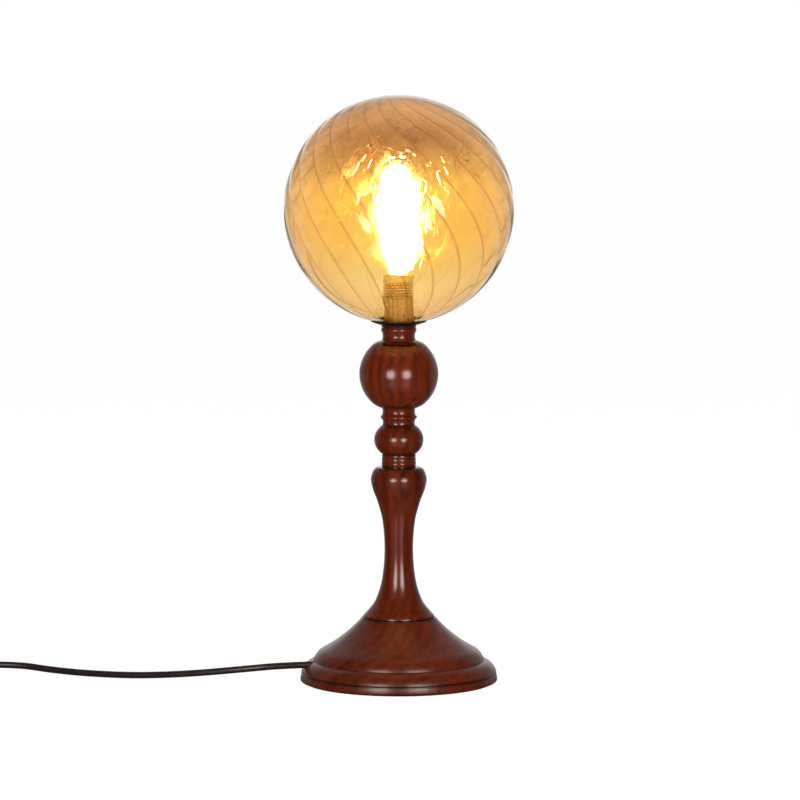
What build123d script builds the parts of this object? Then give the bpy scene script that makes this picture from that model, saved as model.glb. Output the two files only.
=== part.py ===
from build123d import *
import math
import os

# Turned wooden table lamp with a swirled glass globe, one solid for each piece.
# Millimetres, +Z up, the front toward -Y, origin on the floor under the middle of the base.

# Pad under the base
pad_radius = 83.5
pad_thickness = 1.2

# Base, heights above its underside
base_radius = 87.6
base_height = 56.8
foot_round = 1.6
flange_edge_height = 7.3
flange_crown = 2.4
step_radius = 75.8
step_height = 18.8
shoulder_radius = 70.0
shoulder_height = 27.4
shoulder_crown = 1.2
cone_top_radius = 33.3
cone_hollow = 2.15
cone_lip = 0.8
recess_radius = 52.0
recess_depth = 19.0

# Bore and glued tenons of the turned pieces
bore_radius = 5.3
tenon_radius = 9.0
tenon_length = 9.0
tenon_fit = 0.05
tenon_end_gap = 0.3

# Vase column, heights above its foot
column_height = 134.2
column_foot_radius = 31.6
column_lip = 1.2
waist_radius = 12.7
waist_height = 60.1
urn_radius = 24.8
urn_height = 123.5
urn_shoulder_radius = 22.5
urn_shoulder_height = 131.4
column_top_radius = 16.5

# Turning with the small ball, heights above its foot
small_turning_height = 52.5
ring_radius = 15.0
ring_fillet_height = 1.8
ring_crown = 0.6
small_ball_low = 11.7
small_ball_high = 37.2
small_ball_radius = 21.8
groove_radius = 14.6
bead_low = 43.0
bead_high = 46.2
bead_crown = 1.1
cove_hollow = 0.8

# Turning with the large ball, heights above its foot
large_turning_height = 74.1
large_ball_radius = 34.9
large_ball_centre = 30.4
large_ball_cut = 26.4
large_ball_high = 60.3
neck_radius = 15.0
top_bead_low = 67.6
top_bead_high = 71.4
top_bead_crown = 0.7
top_radius = 15.9

# Threaded tube through the wood, with its washer and nut
tube_radius = 5.0
tube_bore_radius = 4.0
tube_rise_in_cap = 3.0
tube_tail = 4.0
thread_fit = 0.05
washer_radius = 14.0
washer_thickness = 1.5
nut_across_flats = 14.0
nut_thickness = 4.0

# Dish and gasket under the globe
dish_thickness = 1.0
dish_flat_radius = 23.0
dish_radius = 25.0
gasket_thickness = 1.0
gasket_inner_radius = 20.2
gasket_outer_radius = 24.4
seat_gap = 0.3

# Swirled glass globe
globe_radius = 101.6
globe_wall = 2.5
globe_mouth_radius = 20.0
lobes = 20
crease_depth = 1.3
swirl_degrees = 115.0
swirl_rate = 0.6

# Lampholder, heights above the dish
cap_radius = 13.3
cap_height = 24.2
cap_floor = 3.0
cap_wall = 1.3
ledge_height = 15.7
ledge_width = 1.6
shell_radius = 13.6
shell_height = 21.3
shell_wall = 1.4
shell_rim_thickness = 1.5
shell_rim_bore = 10.2
insert_gap = 0.2
insert_disc_thickness = 5.5
insert_sleeve_radius = 9.4
insert_sleeve_height = 20.0
side_contact_radius = 7.05
side_contact_wall = 0.5
side_contact_base = 5.0
side_contact_height = 13.0
centre_contact_radius = 2.5
centre_contact_thickness = 0.7
terminal_offset = 8.0
terminal_head_radius = 1.9
terminal_head_height = 1.6
terminal_shank_radius = 1.2
terminal_shank_length = 4.0

# Bulb, heights above its centre contact
bulb_seat_gap = 0.3
bulb_contact_radius = 2.2
bulb_contact_height = 1.2
bulb_insulator_radius = 6.0
bulb_insulator_height = 3.0
bulb_cap_radius = 6.75
bulb_cap_wall = 0.5
bulb_cap_straight = 21.0
bulb_skirt_radius = 8.4
bulb_skirt_low = 24.4
bulb_skirt_high = 26.6
bulb_glass_wall = 0.8
bulb_neck_gap = 0.1
bulb_belly_radius = 17.5
bulb_belly_height = 58.0
bulb_height = 119.0
bulb_tip_radius = 1.6
stem_radius = 2.6
stem_height = 46.0
filaments = 4
filament_radius = 0.9
filament_low_circle = 5.0
filament_high_circle = 3.0
filament_low = 50.0
filament_high = 86.0
support_radius = 0.3
support_height = 88.0

# Cord, its hole and its clamp in the base
cord_radius = 3.0
cord_exit_degrees = 9.0
cord_hole_clearance = 0.5
cord_ceiling_gap = 0.2
cord_sheath_end = 30.0
cord_start = base_radius - 17.6
cord_hole_run = 15.4
clamp_place = 38.0
clamp_width = 8.0
clamp_thickness = 1.2
clamp_ear = 7.0
clamp_fit = 0.1
screw_shank_radius = 1.4
screw_shank_length = 9.0
screw_head_radius = 2.6
screw_head_height = 1.6
screw_clearance = 0.2
wire_radius = 1.0
wire_spread = 1.35
wire_spread_at_holder = 2.4

# Switch on the cord, its own origin on the floor under its middle
switch_x = -412.0
switch_y = 45.0
switch_length = 62.0
switch_width = 26.0
switch_height = 18.0
switch_parting = 8.0
switch_wall = 2.0
switch_corner = 8.0
switch_edge = 3.0
window_length = 24.0
window_width = 14.0
rocker_length = 21.2
rocker_width = 13.0
rocker_rise = 5.5
rocker_dip = 2.2
rocker_drop = 3.0
rocker_throw = 20.0
pivot_height = 14.0
pivot_radius = 1.0
pivot_fit = 0.05
cheek_thickness = 2.0
cheek_drop = 3.2
contact_length = 8.0
contact_width = 6.0
contact_height = 1.5
contact_place = 18.0
sleeve_radius = 4.6
sleeve_end_radius = 3.7
sleeve_length = 14.0
sleeve_ribs = 4
sleeve_groove = 0.5
sleeve_fit = 0.05
case_screw_place = 23.5
case_screw_side = 5.5

# Plug, its own origin on the floor where the body meets the boot
plug_x = -418.0
plug_y = -46.0
plug_degrees = -8.0
plug_thickness = 13.7
plug_length = 34.0
plug_width = 35.0
plug_back_width = 15.0
plug_round = 3.0
boot_length = 20.0
boot_radius = 5.2
boot_end_radius = 4.2
boot_groove = 0.7
boot_ribs = 5
pin_radius = 2.0
pin_pitch = 18.6
pin_sleeve_length = 10.0
pin_bare_length = 9.0
pin_round = 1.2

# Coil of spare cord
coil_outer_radius = 43.0
coil_half_turns = 6
coil_pitch = 6.6
coil_layer = 6.6
coil_lead = 6.0
coil_end_gap = 0.1

# Heights above the floor
recess_top = pad_thickness + recess_depth
base_top = pad_thickness + base_height
column_top = base_top + column_height
small_turning_top = column_top + small_turning_height
wood_top = small_turning_top + large_turning_height
dish_top = wood_top + dish_thickness
cap_top = dish_top + cap_height
insert_base = dish_top + ledge_height
insert_top = insert_base + insert_disc_thickness
bulb_foot = insert_top + centre_contact_thickness + bulb_seat_gap
dish_sphere = globe_radius + seat_gap + gasket_thickness
globe_centre = dish_top + math.sqrt(dish_sphere**2 - dish_flat_radius**2)
cord_height = recess_top - cord_ceiling_gap - cord_radius
tube_foot = recess_top - washer_thickness - nut_thickness - tube_tail

QUARTER = 1 - math.sqrt(0.5)


def bow(start, end, out):
    """An arc whose middle stands that far out, to the right of the way from start to end."""
    run = math.dist(start, end)
    across = (end[1] - start[1]) / run
    down = (start[0] - end[0]) / run
    middle = ((start[0] + end[0]) / 2 + out * across, (start[1] + end[1]) / 2 + out * down)
    return ThreePointArc(start, middle, end)


def outline(start, *steps):
    """A closed outline. A step is a corner, a corner with how far its arc bows, or an edge."""
    edges = []
    here = start
    for step in (*steps, start):
        if isinstance(step, Edge):
            edges.append(step)
            here = ((step @ 1).X, (step @ 1).Y)
            continue
        to, out = step if isinstance(step[0], tuple) else (step, 0)
        edges.append(bow(here, to, out) if out else Line(here, to))
        here = to
    return edges


def turned(edges):
    """A round piece about the lamp's axis, from a half section in radius and height."""
    return revolve(Plane.XZ * make_face(edges), Axis.Z)


def ring(inner, outer, low, high):
    """A plain ring about the lamp's axis."""
    return turned(outline((inner, low), (outer, low), (outer, high), (inner, high)))


def disc(radius, low, high):
    """A plain disc about the lamp's axis."""
    return Pos(0, 0, low) * Cylinder(radius, high - low, align=(Align.CENTER, Align.CENTER, Align.MIN))


def rod(start, end, radius):
    """A round bar from start to end."""
    along = Vector(end) - Vector(start)
    bar = Cylinder(radius, along.length, align=(Align.CENTER, Align.CENTER, Align.MIN))
    return Plane(origin=start, z_dir=along) * bar


def toward_cord(shape):
    """Turns what was modelled along -X to the side where the cord comes out."""
    return Rot(0, 0, cord_exit_degrees) * shape


def tenon(foot, direction):
    """The corners of a tenon's side, from the shoulder at foot to its end."""
    end = foot + direction * tenon_length
    return (tenon_radius, foot), (tenon_radius, end), (bore_radius, end)


def socket(mouth, direction):
    """The corners of the socket that takes a tenon, from its mouth to the bore."""
    side = tenon_radius + tenon_fit
    end = mouth + direction * (tenon_length + tenon_end_gap)
    return (side, mouth), (side, end), (bore_radius, end)


def base_pad():
    return disc(pad_radius, 0, pad_thickness)


def wooden_base():
    """The base: a rounded flange, a step, a hollow cone, and the recess for nut and cord below."""
    foot = pad_thickness
    wood = turned(
        outline(
            (recess_radius, foot),
            (base_radius - foot_round, foot),
            ((base_radius, foot + foot_round), foot_round * QUARTER),
            (base_radius, foot + flange_edge_height),
            ((step_radius, foot + step_height), flange_crown),
            ((shoulder_radius, foot + shoulder_height), shoulder_crown),
            ((cone_top_radius, base_top - cone_lip), -cone_hollow),
            ((cone_top_radius - cone_lip, base_top), cone_lip * QUARTER),
            *socket(base_top, -1),
            (bore_radius, recess_top),
            (recess_radius, recess_top),
        )
    )
    hole_end = base_radius + cord_radius
    hole = rod(
        (-recess_radius + cord_radius, 0, cord_height),
        (-hole_end, 0, cord_height),
        cord_radius + cord_hole_clearance,
    )
    pilot_end = recess_top + screw_shank_length
    pilots = [
        rod((-clamp_place, y, recess_top), (-clamp_place, y, pilot_end), screw_shank_radius)
        for y in clamp_screw_sides()
    ]
    return wood - toward_cord(hole) - [toward_cord(pilot) for pilot in pilots]


def vase_column():
    """The column: a flared foot, a slim waist and an urn with a rounded shoulder."""
    foot = base_top
    flare = column_foot_radius - waist_radius
    swell = urn_radius - waist_radius
    rise = urn_height - waist_height
    side = Spline(
        (column_foot_radius, foot + column_lip),
        (waist_radius + 0.788 * flare, foot + 0.1015 * waist_height),
        (waist_radius + 0.434 * flare, foot + 0.251 * waist_height),
        (waist_radius + 0.127 * flare, foot + 0.551 * waist_height),
        (waist_radius, foot + waist_height),
        (waist_radius + 0.153 * swell, foot + waist_height + 0.42 * rise),
        (waist_radius + 0.545 * swell, foot + waist_height + 0.70 * rise),
        (waist_radius + 0.835 * swell, foot + waist_height + 0.842 * rise),
        (urn_radius, foot + urn_height),
        tangents=[(-0.86, 1), (0, 1)],
    )
    shoulder = (urn_shoulder_radius, foot + urn_shoulder_height)
    shoulder_drop = column_height - urn_shoulder_height
    bottom = tenon(foot, -1)
    return turned(
        outline(
            *reversed(bottom),
            (column_foot_radius - column_lip, foot),
            ((column_foot_radius, foot + column_lip), column_lip * QUARTER),
            side,
            (shoulder, 0.35),
            ((column_top_radius, column_top), shoulder_drop * 0.35),
            *socket(column_top, -1),
        )
    )


def small_ball_turning():
    """The ring, the small ball and the bead between the column and the large ball."""
    foot = column_top
    ball_crown = small_ball_radius - groove_radius
    return turned(
        outline(
            *reversed(tenon(foot, -1)),
            (ring_radius, foot),
            (ring_radius, foot + ring_fillet_height),
            ((groove_radius, foot + small_ball_low), ring_crown),
            ((groove_radius, foot + small_ball_high), ball_crown),
            ((ring_radius, foot + bead_low), -cove_hollow),
            ((ring_radius, foot + bead_high), bead_crown),
            ((ring_radius, small_turning_top), -cove_hollow),
            *tenon(small_turning_top, 1),
        )
    )


def large_ball_turning():
    """The large ball and the rings that carry the dish."""
    foot = small_turning_top
    centre = foot + large_ball_centre
    cut = math.sqrt(large_ball_radius**2 - large_ball_cut**2)
    ball = ThreePointArc(
        (cut, centre - large_ball_cut), (large_ball_radius, centre), (cut, centre + large_ball_cut)
    )
    return turned(
        outline(
            *reversed(socket(foot, 1)),
            (neck_radius, foot),
            ((cut, centre - large_ball_cut), 0.4),
            ball,
            ((neck_radius, foot + large_ball_high), 0.4),
            ((neck_radius, foot + top_bead_low), -cove_hollow),
            ((neck_radius, foot + top_bead_high), top_bead_crown),
            ((top_radius, wood_top), -0.3),
            (bore_radius, wood_top),
        )
    )


def threaded_tube():
    """The hollow threaded tube that holds the wood together from the nut to the lampholder."""
    return ring(tube_bore_radius, tube_radius, tube_foot, dish_top + cap_floor + tube_rise_in_cap)


def tube_washer():
    return ring(bore_radius, washer_radius, recess_top - washer_thickness, recess_top)


def tube_nut():
    top = recess_top - washer_thickness
    blank = extrude(RegularPolygon(nut_across_flats / 2, 6, major_radius=False), nut_thickness)
    bore = disc(tube_radius + thread_fit, top - nut_thickness, top)
    return Pos(0, 0, top - nut_thickness) * blank - bore


def sphere_edge(radius, start, end):
    """The arc of a sphere about the globe's centre, in its lower half, between two radii."""
    points = [(r, globe_centre - math.sqrt(radius**2 - r**2)) for r in (start, (start + end) / 2, end)]
    return ThreePointArc(*points)


def shade_dish():
    """The thin dark saucer that carries the globe, flat in the middle and hugging the globe outside."""
    under = dish_sphere + dish_thickness
    flat_below = math.sqrt(under**2 - (globe_centre - wood_top) ** 2)
    return turned(
        outline(
            (bore_radius, wood_top),
            (flat_below, wood_top),
            sphere_edge(under, flat_below, dish_radius),
            (dish_radius, globe_centre - math.sqrt(dish_sphere**2 - dish_radius**2)),
            sphere_edge(dish_sphere, dish_radius, dish_flat_radius),
            (bore_radius, dish_top),
        )
    )


def shade_gasket():
    """The soft ring on the dish, flat below and hollowed above to the globe."""
    top = globe_radius + seat_gap
    return turned(
        outline(
            (gasket_inner_radius, dish_top),
            (dish_flat_radius, dish_top),
            sphere_edge(dish_sphere, dish_flat_radius, gasket_outer_radius),
            (gasket_outer_radius, globe_centre - math.sqrt(top**2 - gasket_outer_radius**2)),
            sphere_edge(top, gasket_outer_radius, gasket_inner_radius),
        )
    )


def globe_section(polar):
    """The globe's outline at one angle from its top: equal arcs that meet in creases."""
    radius = globe_radius * math.sin(math.radians(polar))
    crease = radius - crease_depth * math.sin(math.radians(polar))
    turn = swirl_degrees * math.sin(math.radians(swirl_rate * polar))
    step = 360 / lobes
    arcs = []
    for lobe in range(lobes):
        angles = [math.radians(turn + (lobe + half / 2) * step) for half in range(3)]
        points = [
            (r * math.cos(a), r * math.sin(a)) for r, a in zip((crease, radius, crease), angles)
        ]
        arcs.append(ThreePointArc(*points))
    height = globe_centre + globe_radius * math.cos(math.radians(polar))
    return Pos(0, 0, height) * make_face(arcs)


def glass_globe():
    """The blown globe: a sphere whose shallow lobes wind round it, with a round mouth below."""
    body = loft([globe_section(polar) for polar in range(3, 172, 6)])
    hollow = Pos(0, 0, globe_centre) * Sphere(globe_radius - globe_wall)
    mouth = disc(globe_mouth_radius, globe_centre - globe_radius, globe_centre)
    return body - (hollow + mouth)


def holder_cap():
    """The lower cup of the lampholder, screwed on the tube, with a ledge for the insert."""
    inside = cap_radius - cap_wall
    return turned(
        outline(
            (tube_radius + thread_fit, dish_top),
            (cap_radius, dish_top),
            (cap_radius, cap_top),
            (inside, cap_top),
            (inside, insert_base),
            (inside - ledge_width, insert_base),
            (inside - ledge_width, dish_top + cap_floor),
            (tube_radius + thread_fit, dish_top + cap_floor),
        )
    )


def holder_shell():
    """The upper sleeve of the lampholder, with a rim round the bulb."""
    inside = shell_radius - shell_wall
    top = cap_top + shell_height
    return turned(
        outline(
            (inside, cap_top),
            (shell_radius, cap_top),
            (shell_radius, top),
            (shell_rim_bore, top),
            (shell_rim_bore, top - shell_rim_thickness),
            (inside, top - shell_rim_thickness),
        )
    )


def terminal_sides():
    return -terminal_offset, terminal_offset


def holder_insert():
    """The ceramic core: a disc on the cap's ledge and a sleeve round the screw contact."""
    sleeve_bore = side_contact_radius + side_contact_wall
    body = turned(
        outline(
            (0, insert_base),
            (cap_radius - cap_wall - insert_gap, insert_base),
            (cap_radius - cap_wall - insert_gap, insert_top),
            (insert_sleeve_radius, insert_top),
            (insert_sleeve_radius, insert_top + insert_sleeve_height),
            (sleeve_bore, insert_top + insert_sleeve_height),
            (sleeve_bore, insert_top),
            (0, insert_top),
        )
    )
    holes = [
        rod((0, y, insert_base), (0, y, insert_base + terminal_shank_length), terminal_shank_radius)
        for y in terminal_sides()
    ]
    return body - holes


def holder_side_contact():
    low = insert_top + side_contact_base
    return ring(side_contact_radius, side_contact_radius + side_contact_wall, low, low + side_contact_height)


def holder_centre_contact():
    return disc(centre_contact_radius, insert_top, insert_top + centre_contact_thickness)


def terminal_screw(y):
    """A terminal screw under the insert: a head and a shank."""
    head = rod((0, y, insert_base - terminal_head_height), (0, y, insert_base), terminal_head_radius)
    shank = rod((0, y, insert_base), (0, y, insert_base + terminal_shank_length), terminal_shank_radius)
    return head + shank


def bulb_contact():
    return disc(bulb_contact_radius, bulb_foot, bulb_foot + bulb_contact_height)


def bulb_insulator():
    """The black glass cone round the centre contact."""
    low = bulb_foot + bulb_contact_height
    return turned(
        outline(
            (0, low),
            (bulb_contact_radius, low),
            (bulb_insulator_radius, low + bulb_insulator_height),
            (0, low + bulb_insulator_height),
        )
    )


def bulb_cap():
    """The thin screw cap, with the skirt that holds the glass."""
    low = bulb_foot + bulb_contact_height + bulb_insulator_height
    straight = bulb_foot + bulb_cap_straight
    skirt_low = bulb_foot + bulb_skirt_low
    skirt_high = bulb_foot + bulb_skirt_high
    inside = bulb_cap_radius - bulb_cap_wall
    skirt_inside = bulb_skirt_radius - bulb_cap_wall
    return turned(
        outline(
            (0, low),
            (bulb_insulator_radius, low),
            (bulb_cap_radius, low + bulb_cap_wall),
            (bulb_cap_radius, straight),
            (bulb_skirt_radius, skirt_low),
            (bulb_skirt_radius, skirt_high),
            (skirt_inside, skirt_high),
            (skirt_inside, skirt_low),
            (inside, straight),
            (inside, low + bulb_cap_wall),
            (0, low + bulb_cap_wall),
        )
    )


def bulb_side(inset):
    """The candle shape's side edges from the neck to the tip, moved in by a wall."""
    neck = bulb_skirt_radius - bulb_cap_wall - bulb_neck_gap - inset
    belly = bulb_belly_radius - inset
    low = bulb_foot + bulb_skirt_low + bulb_neck_gap
    middle = bulb_foot + bulb_belly_height
    high = bulb_foot + bulb_height - 2 * inset
    lower = Spline(
        (neck, low),
        (neck + 0.47 * (belly - neck), low + 0.46 * (middle - low)),
        (belly, middle),
        tangents=[(0, 1), (0, 1)],
    )
    tip = max(bulb_tip_radius - inset, 0.4)
    upper = Spline(
        (belly, middle),
        (0.73 * belly, middle + 0.44 * (high - middle)),
        (0.25 * belly, middle + 0.80 * (high - middle)),
        (tip, high - tip),
        tangents=[(0, 1), (-0.25, 1)],
    )
    return lower, upper, high


def bulb_glass():
    """The clear candle-shaped envelope."""
    lower, upper, high = bulb_side(0)
    lower_in, upper_in, high_in = bulb_side(bulb_glass_wall)
    tip, tip_in = upper @ 1, upper_in @ 1
    return turned(
        [
            lower,
            upper,
            bow((tip.X, tip.Y), (0, high), tip.X * QUARTER),
            Line((0, high), (0, high_in)),
            bow((0, high_in), (tip_in.X, tip_in.Y), -tip_in.X * QUARTER),
            upper_in,
            lower_in,
            Line(lower_in @ 0, lower @ 0),
        ]
    )


def bulb_stem():
    """The glass stem, flared where it is sealed in the neck."""
    low = bulb_foot + bulb_skirt_low + bulb_neck_gap
    flare = bulb_skirt_radius - bulb_cap_wall - 2 * bulb_neck_gap - bulb_glass_wall
    top = bulb_foot + stem_height
    return turned(
        outline(
            (0, low),
            (flare, low),
            ((stem_radius, low + 2 * flare), -flare / 4),
            (stem_radius, top),
            (0, top),
        )
    )


def filament_ends(number):
    """Where one filament starts and ends, evenly spaced round the bulb's axis."""
    angle = math.radians((number + 0.5) * 360 / filaments)
    ends = []
    for circle, height in ((filament_low_circle, filament_low), (filament_high_circle, filament_high)):
        ends.append((circle * math.cos(angle), circle * math.sin(angle), bulb_foot + height))
    return ends


def bulb_filament(number):
    return rod(*filament_ends(number), filament_radius)


def bulb_support():
    """The wires that carry the filaments on the stem."""
    foot = (0, 0, bulb_foot + stem_height)
    top = (0, 0, bulb_foot + support_height)
    wires = rod(foot, top, support_radius)
    for number in range(filaments):
        low, high = filament_ends(number)
        wires += rod(foot, low, support_radius) + rod(top, high, support_radius)
    return wires - [bulb_filament(number) for number in range(filaments)] - bulb_stem()


def clamp_screw_sides():
    side = cord_radius + clamp_fit + clamp_thickness + clamp_ear / 2
    return -side, side


def cord_clamp():
    """The strap that holds the cord up against the recess's ceiling, with an ear each side."""
    inner = cord_radius + clamp_fit
    outer = inner + clamp_thickness
    reach = outer + clamp_ear
    rise = recess_top - cord_height
    strap = outline(
        (-reach, rise),
        (-reach, rise - clamp_thickness),
        (-outer, rise - clamp_thickness),
        (-outer, 0),
        ThreePointArc((-outer, 0), (0, -outer), (outer, 0)),
        (outer, rise - clamp_thickness),
        (reach, rise - clamp_thickness),
        (reach, rise),
        (inner, rise),
        (inner, 0),
        ThreePointArc((inner, 0), (0, -inner), (-inner, 0)),
        (-inner, rise),
    )
    across = Plane(origin=(-clamp_place, 0, cord_height), x_dir=(0, 1, 0), z_dir=(1, 0, 0))
    body = extrude(across * make_face(strap), clamp_width / 2, both=True)
    holes = [
        rod((-clamp_place, y, recess_top - 2 * clamp_thickness), (-clamp_place, y, recess_top + 1),
            screw_shank_radius + screw_clearance)
        for y in clamp_screw_sides()
    ]
    return toward_cord(body - holes)


def clamp_screw(y):
    """A wood screw through one ear of the clamp."""
    seat = recess_top - clamp_thickness
    tip = recess_top + screw_shank_length - 1
    head = rod((-clamp_place, y, seat - screw_head_height), (-clamp_place, y, seat), screw_head_radius)
    shank = rod((-clamp_place, y, seat), (-clamp_place, y, tip), screw_shank_radius)
    return toward_cord(head + shank)


def corner_radii(points):
    """For each corner of a route, the largest arc that its two runs allow."""
    radii = []
    for before, here, after in zip(points, points[1:], points[2:]):
        into, out = Vector(here) - Vector(before), Vector(after) - Vector(here)
        turn = math.radians(into.get_angle(out))
        radii.append(0.45 * min(into.length, out.length) / math.tan(turn / 2))
    return radii


def tube_along(name, points, radius):
    """A round tube along straight runs joined by tangent arcs."""
    radii = corner_radii(points)
    path = FilletPolyline(*points, radius=radii)
    tube = sweep(Plane(origin=path @ 0, z_dir=path % 0) * Circle(radius), path=path)
    whole = math.pi * radius**2 * path.length
    print(name, "length", round(path.length, 1), "radii", [round(r) for r in radii],
          "volume over section times length", round(tube.volume / whole, 4))
    return tube


def cord_inside():
    """The sheathed cord in the recess and the wood, up to where the free cord starts."""
    return toward_cord(rod((-cord_sheath_end, 0, cord_height), (-cord_start, 0, cord_height), cord_radius))


def inner_wire(name, side):
    """One insulated wire from the sheath's end down, up through the tube and into the holder."""
    y = side * wire_spread
    low = pad_thickness + 2 * wire_radius
    points = [
        (-cord_sheath_end, y, cord_height),
        (-cord_sheath_end + 8, y, cord_height),
        (-14, y, low + 0.2),
        (0, y, low),
        (0, y, dish_top + cap_floor + tube_rise_in_cap),
        (0, side * wire_spread_at_holder, insert_base - 4),
        (0, side * wire_spread_at_holder, insert_base),
    ]
    return toward_cord(tube_along(name, points, wire_radius))


# The free cord from the base to the switch. The first two points are on the line of its hole.
def cord_to_switch():
    turn = math.radians(180 + cord_exit_degrees)
    mouth = [(r * math.cos(turn), r * math.sin(turn), cord_height) for r in (cord_start, base_radius + cord_hole_run)]
    entry = switch_length / 2 + sleeve_length
    points = [
        *mouth,
        (-139, -14.5, 13.2),
        (-184, -4, 7.6),
        (-232, 11, 3.4),
        (-278, 26, 3.0),
        (-314, 38, 4.6),
        (switch_x + entry + 26, switch_y, switch_parting),
        (switch_x + entry, switch_y, switch_parting),
    ]
    return tube_along("cord_to_switch", points, cord_radius)


def switch_block(low, high, inset):
    """A slice of the switch case's rounded block between two heights."""
    plan = RectangleRounded(switch_length - 2 * inset, switch_width - 2 * inset, switch_corner - inset)
    return Pos(0, 0, low) * extrude(plan, high - low)


def case_screws(radius, low, high):
    """Bars where the two screws of the switch case run."""
    places = ((-case_screw_place, -case_screw_side), (case_screw_place, case_screw_side))
    return [rod((x, y, low), (x, y, high), radius) for x, y in places]


def sleeve_holes():
    reach = switch_length / 2 + 1
    return rod((-reach, 0, switch_parting), (reach, 0, switch_parting), sleeve_radius + sleeve_fit)


def switch_case_bottom():
    """The lower half of the switch case, a rounded tray with two screw posts."""
    body = switch_block(0, switch_parting, 0)
    body = fillet(body.edges().group_by(Axis.Z)[0], switch_edge / 2)
    body -= switch_block(switch_wall, switch_parting, switch_wall)
    posts = case_screws(screw_shank_radius + 1.2, switch_wall, switch_parting)
    holes = case_screws(screw_shank_radius, switch_wall + 1, switch_parting)
    return body + posts - holes - sleeve_holes()


def cheek_box(side):
    """The cheek beside the window that carries one end of the pivot."""
    top = switch_height - switch_wall
    y = side * (window_width / 2 + cheek_thickness / 2)
    height = top - pivot_height + cheek_drop
    return Pos(0, y, top - height / 2) * Box(3 * cheek_drop, cheek_thickness, height)


def switch_case_top():
    """The upper half of the switch case, with the window for the rocker."""
    body = switch_block(switch_parting, switch_height, 0)
    body = fillet(body.edges().group_by(Axis.Z)[-1], switch_edge)
    body -= switch_block(switch_parting, switch_height - switch_wall, switch_wall)
    body += [cheek_box(side) for side in (-1, 1)]
    body -= Pos(0, 0, switch_height) * Box(window_length, window_width, 4 * switch_wall)
    body += case_screws(screw_shank_radius + 1.2, switch_parting, switch_height - switch_wall)
    body -= case_screws(screw_shank_radius + screw_clearance, switch_parting, switch_height)
    body -= case_screws(screw_head_radius + screw_clearance, switch_height - screw_head_height, switch_height)
    reach = window_width / 2 + cheek_thickness
    body -= rod((0, -reach, pivot_height), (0, reach, pivot_height), pivot_radius)
    return body - sleeve_holes()


def case_screw(number):
    """A screw that holds the two halves of the switch case together."""
    top = switch_height - screw_head_height
    shank = case_screws(screw_shank_radius, switch_wall + 1, top)[number]
    head = case_screws(screw_head_radius, top, switch_height - screw_clearance)[number]
    return shank + head


def switch_rocker():
    """The rocker, dished on top, resting with its far end down."""
    half = rocker_length / 2
    section = outline(
        (-half, -rocker_drop),
        (half, -rocker_drop),
        (half, rocker_rise),
        ((-half, rocker_rise), -rocker_dip),
    )
    across = Plane(origin=(0, 0, pivot_height), x_dir=(1, 0, 0), z_dir=(0, -1, 0))
    body = extrude(across * make_face(section), rocker_width / 2, both=True)
    body = fillet(body.edges().filter_by(Axis.Y).group_by(Axis.Z)[-1], 0.8)
    side = rocker_width / 2
    body -= rod((0, -side, pivot_height), (0, side, pivot_height), pivot_radius + pivot_fit)
    return Pos(0, 0, pivot_height) * Rot(0, -rocker_throw / 2, 0) * Pos(0, 0, -pivot_height) * body


def switch_pivot():
    reach = window_width / 2 + cheek_thickness
    return rod((0, -reach, pivot_height), (0, reach, pivot_height), pivot_radius)


def switch_contact(side):
    """A brass contact block on the floor of the switch case."""
    size = Align.CENTER, Align.CENTER, Align.MIN
    return Pos(side * contact_place, -side * contact_width / 2, switch_wall) * Box(
        contact_length, contact_width, contact_height, align=size
    )


def switch_sleeve(side):
    """The soft ribbed sleeve that holds the cord at one end of the switch."""
    start = switch_length / 2 - switch_wall
    end = switch_length / 2 + sleeve_length
    collar = switch_wall + 1
    pitch = (end - start - collar) / sleeve_ribs
    corners = [(0, 0), (sleeve_radius, 0), (sleeve_radius, collar)]
    for rib in range(sleeve_ribs):
        low = collar + rib * pitch
        radius = sleeve_radius + (sleeve_end_radius - sleeve_radius) * (rib + 1) / sleeve_ribs
        corners += [(radius - sleeve_groove, low), (radius - sleeve_groove, low + 0.4 * pitch)]
        corners += [(radius, low + 0.4 * pitch), (radius, low + pitch)]
    corners += [(0, end - start)]
    body = revolve(Plane.XZ * make_face(outline(*corners)), Axis.Z)
    across = Plane(origin=(side * start, 0, switch_parting), z_dir=(side, 0, 0))
    return across * body


def at_switch(shape):
    return Pos(switch_x, switch_y, 0) * shape


def at_plug(shape):
    return Pos(plug_x, plug_y, 0) * Rot(0, 0, plug_degrees) * shape


def plug_body():
    """The flat plug body, wide at the pins and narrow at the cord."""
    half, back = plug_width / 2, plug_back_width / 2
    plan = make_face(
        outline(
            (0, -back),
            ((plug_length * 0.55, -half), 1.5),
            (plug_length, -half),
            (plug_length, half),
            (plug_length * 0.55, half),
            ((0, back), 1.5),
        )
    )
    return fillet(extrude(plan, plug_thickness).edges(), plug_round / 2)


def plug_boot():
    """The ribbed boot that leads the cord into the plug."""
    pitch = boot_length / boot_ribs
    groove = 0.4 * pitch
    corners = [(0, 0)]
    for rib in range(boot_ribs):
        low = rib * pitch
        radius = boot_radius + (boot_end_radius - boot_radius) * (rib + 1) / boot_ribs
        corners += [(radius, low), (radius, low + pitch - groove)]
        corners += [(radius - boot_groove, low + pitch - groove), (radius - boot_groove, low + pitch)]
    corners += [(0, boot_length)]
    across = Plane(origin=(0, 0, plug_thickness / 2), z_dir=(-1, 0, 0))
    return across * revolve(Plane.XZ * make_face(outline(*corners)), Axis.Z)


def plug_pin_sleeve(side):
    y = side * pin_pitch / 2
    height = plug_thickness / 2
    return rod((plug_length, y, height), (plug_length + pin_sleeve_length, y, height), pin_radius)


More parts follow.
